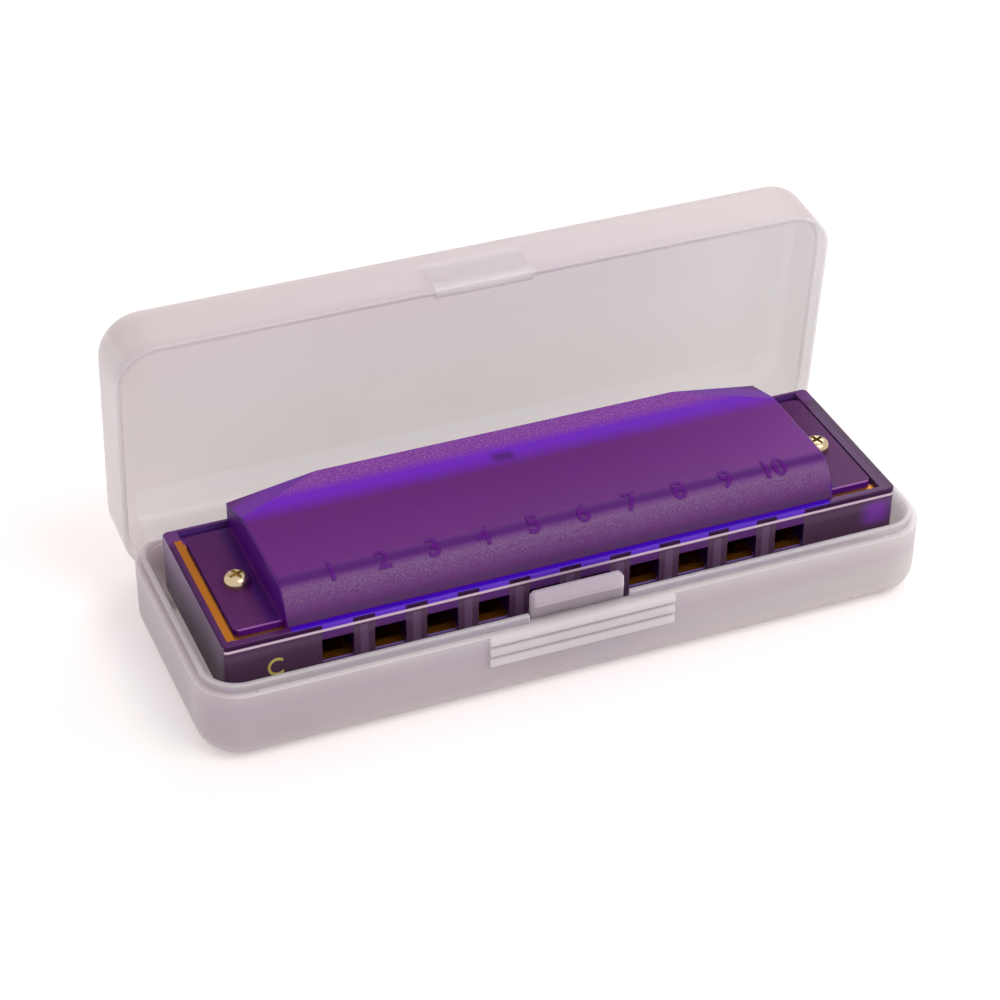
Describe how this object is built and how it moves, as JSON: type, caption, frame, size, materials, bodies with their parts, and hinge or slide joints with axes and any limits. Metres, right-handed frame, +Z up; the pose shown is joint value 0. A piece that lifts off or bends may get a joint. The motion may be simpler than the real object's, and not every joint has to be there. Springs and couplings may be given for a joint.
{
  "type": "harmonica case",
  "caption": "Frosted plastic case with rounded corners, snap latch and hinged lid, open, holding a clear purple harmonica with numbered holes.",
  "frame": {"origin": "middle of the underside of the base, on the surface it stands on", "axes": "+X to the right along the case's length as seen from the latch side, +Y towards the hinge, +Z up. The lid is drawn open, as in the picture."},
  "size_m": [0.1078, 0.0507, 0.0445],
  "materials": {
    "case_plastic": "frosted natural polypropylene, see-through in thin parts",
    "comb_plastic": "clear dark purple plastic",
    "cover_plastic": "clear purple plastic with a fine frosted grain",
    "plate_brass": "plain rolled brass sheet",
    "reed_brass": "ground brass strip",
    "screw_brass": "dull brass with a cross recess"
  },
  "bodies": {
    "base": {"base_tray": "case_plastic"},
    "latch": {"latch_tongue": "case_plastic"},
    "lid": {"lid_shell": "case_plastic"},
    "harmonica": {"comb": "comb_plastic", "upper_cover": "cover_plastic", "lower_cover": "cover_plastic", "upper_reed_plate": "plate_brass", "lower_reed_plate": "plate_brass", "upper_rivets": "reed_brass", "lower_rivets": "reed_brass", "cover_screw_left": "screw_brass", "cover_screw_right": "screw_brass", "cover_nut_left": "screw_brass", "cover_nut_right": "screw_brass", "blow_reed_1": "reed_brass", "draw_reed_1": "reed_brass", "blow_reed_2": "reed_brass", "draw_reed_2": "reed_brass", "blow_reed_3": "reed_brass", "draw_reed_3": "reed_brass", "blow_reed_4": "reed_brass", "draw_reed_4": "reed_brass", "blow_reed_5": "reed_brass", "draw_reed_5": "reed_brass", "blow_reed_6": "reed_brass", "draw_reed_6": "reed_brass", "blow_reed_7": "reed_brass", "draw_reed_7": "reed_brass", "blow_reed_8": "reed_brass", "draw_reed_8": "reed_brass", "blow_reed_9": "reed_brass", "draw_reed_9": "reed_brass", "blow_reed_10": "reed_brass", "draw_reed_10": "reed_brass"}
  },
  "joints": [
    {"name": "lid_hinge", "type": "hinge", "parent": "base", "child": "lid", "pos_m": [0, 0.01623, 0.0082], "axis": [-1, 0, 0], "range_deg": [-85.3, 0]},
    {"name": "latch_flex", "type": "hinge", "parent": "base", "child": "latch", "pos_m": [0, -0.017, 0.0076], "axis": [-1, 0, 0], "range_deg": [0, 8], "stiffness_Nm_per_rad": 0.05},
    {"name": "harmonica_lift", "type": "slide", "parent": "base", "child": "harmonica", "axis": [0, 0, 1], "range_m": [0, 0.025]}
  ]
}
